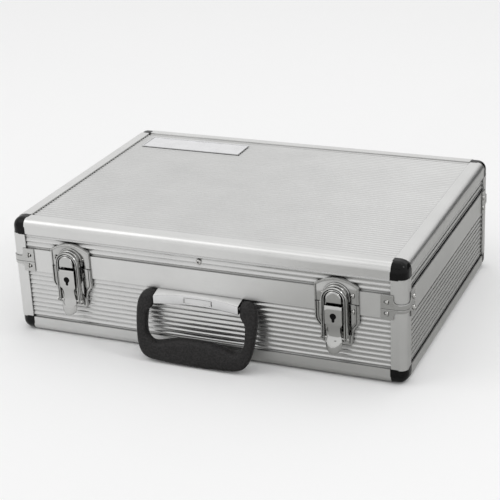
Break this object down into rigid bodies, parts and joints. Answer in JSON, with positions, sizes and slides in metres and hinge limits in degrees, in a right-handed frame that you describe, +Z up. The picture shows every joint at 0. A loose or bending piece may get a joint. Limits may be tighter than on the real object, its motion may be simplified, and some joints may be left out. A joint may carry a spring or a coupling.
{
  "type": "aluminium attache case",
  "caption": "Ribbed aluminium hard case with rounded edge extrusions, black corner caps, draw latches with locks, a hinged lid and a swinging carrying handle.",
  "frame": {"origin": "centre of the face that the closed case rests on, under the shell's middle", "axes": "+X along the case's length, to the right seen from the front; -Y towards the front with the latches and the handle; +Z up, out of the top of the lid"},
  "size_m": [0.4546, 0.3655, 0.133],
  "materials": {
    "ribbed_aluminium": "satin ribbed sheet",
    "satin_aluminium": "satin anodised extrusion",
    "chrome": "bright chromed steel",
    "black_cap_plastic": "semi-gloss moulded plastic",
    "black_handle_plastic": "lightly textured moulded plastic",
    "board": "fibreboard",
    "lining_foam": "black foam-backed cloth",
    "bare_plate": "bright bare plate"
  },
  "bodies": {
    "case_body": {"base_panel": "ribbed_aluminium", "body_back_panel": "ribbed_aluminium", "body_boards": "board", "body_bottom_rails": "satin_aluminium", "body_clip_rivets": "chrome", "body_corner_caps": "black_cap_plastic", "body_corner_clips": "chrome", "body_corner_posts": "satin_aluminium", "body_frame_rails": "satin_aluminium", "body_front_panel": "ribbed_aluminium", "body_left_panel": "ribbed_aluminium", "body_lining": "lining_foam", "body_right_panel": "ribbed_aluminium", "bracket_screws": "chrome", "handle_bracket": "chrome", "handle_pins": "chrome", "hinge_body_leaf_left": "chrome", "hinge_body_leaf_right": "chrome", "hinge_body_rivets": "chrome", "hinge_pins": "chrome", "latch_base_left": "chrome", "latch_base_right": "chrome", "latch_base_rivets": "chrome", "lever_pin_left": "chrome", "lever_pin_right": "chrome"},
    "lid": {"hinge_lid_leaf_left": "chrome", "hinge_lid_leaf_right": "chrome", "hinge_lid_rivets": "chrome", "lid_back_panel": "ribbed_aluminium", "lid_boards": "board", "lid_clip_rivets": "chrome", "lid_corner_caps": "black_cap_plastic", "lid_corner_clips": "chrome", "lid_corner_posts": "satin_aluminium", "lid_frame_rails": "satin_aluminium", "lid_front_panel": "ribbed_aluminium", "lid_front_rivet": "chrome", "lid_left_panel": "ribbed_aluminium", "lid_lining": "lining_foam", "lid_right_panel": "ribbed_aluminium", "lid_top_panel": "ribbed_aluminium", "lid_top_rails": "satin_aluminium", "strike_plate_left": "chrome", "strike_plate_right": "chrome", "strike_rivets": "chrome", "name_plate": "bare_plate"},
    "handle": {"handle_grip": "black_handle_plastic"},
    "lever_left": {"latch_lever_left": "chrome", "bail_pin_left": "chrome"},
    "bail_left": {"latch_bail_left": "chrome"},
    "lock_left": {"lock_plug_left": "chrome"},
    "lever_right": {"latch_lever_right": "chrome", "bail_pin_right": "chrome"},
    "bail_right": {"latch_bail_right": "chrome"},
    "lock_right": {"lock_plug_right": "chrome"}
  },
  "joints": [
    {"name": "lid_hinge", "type": "hinge", "parent": "case_body", "child": "lid", "pos_m": [0, 0.1675, 0.0845], "axis": [-1, 0, 0], "range_deg": [0, 95]},
    {"name": "handle_swing", "type": "hinge", "parent": "case_body", "child": "handle", "pos_m": [0, -0.172, 0.066], "axis": [-1, 0, 0], "range_deg": [0, 95]},
    {"name": "latch_left_lever", "type": "hinge", "parent": "case_body", "child": "lever_left", "pos_m": [-0.1525, -0.1735, 0.082], "axis": [-1, 0, 0], "range_deg": [0, 95]},
    {"name": "latch_left_bail", "type": "hinge", "parent": "lever_left", "child": "bail_left", "pos_m": [-0.1525, -0.1736, 0.049], "axis": [-1, 0, 0], "range_deg": [-124, 0]},
    {"name": "latch_left_lock", "type": "hinge", "parent": "lever_left", "child": "lock_left", "pos_m": [-0.1525, -0.1775, 0.0745], "axis": [0, -1, 0], "range_deg": [0, 90]},
    {"name": "latch_right_lever", "type": "hinge", "parent": "case_body", "child": "lever_right", "pos_m": [0.1525, -0.1735, 0.082], "axis": [-1, 0, 0], "range_deg": [0, 95]},
    {"name": "latch_right_bail", "type": "hinge", "parent": "lever_right", "child": "bail_right", "pos_m": [0.1525, -0.1736, 0.049], "axis": [-1, 0, 0], "range_deg": [-124, 0]},
    {"name": "latch_right_lock", "type": "hinge", "parent": "lever_right", "child": "lock_right", "pos_m": [0.1525, -0.1775, 0.0745], "axis": [0, -1, 0], "range_deg": [0, 90]}
  ],
  "couplings": [
    {"joint": "latch_left_bail", "follows": "latch_left_lever", "ratio": -1.3},
    {"joint": "latch_right_bail", "follows": "latch_right_lever", "ratio": -1.3}
  ]
}
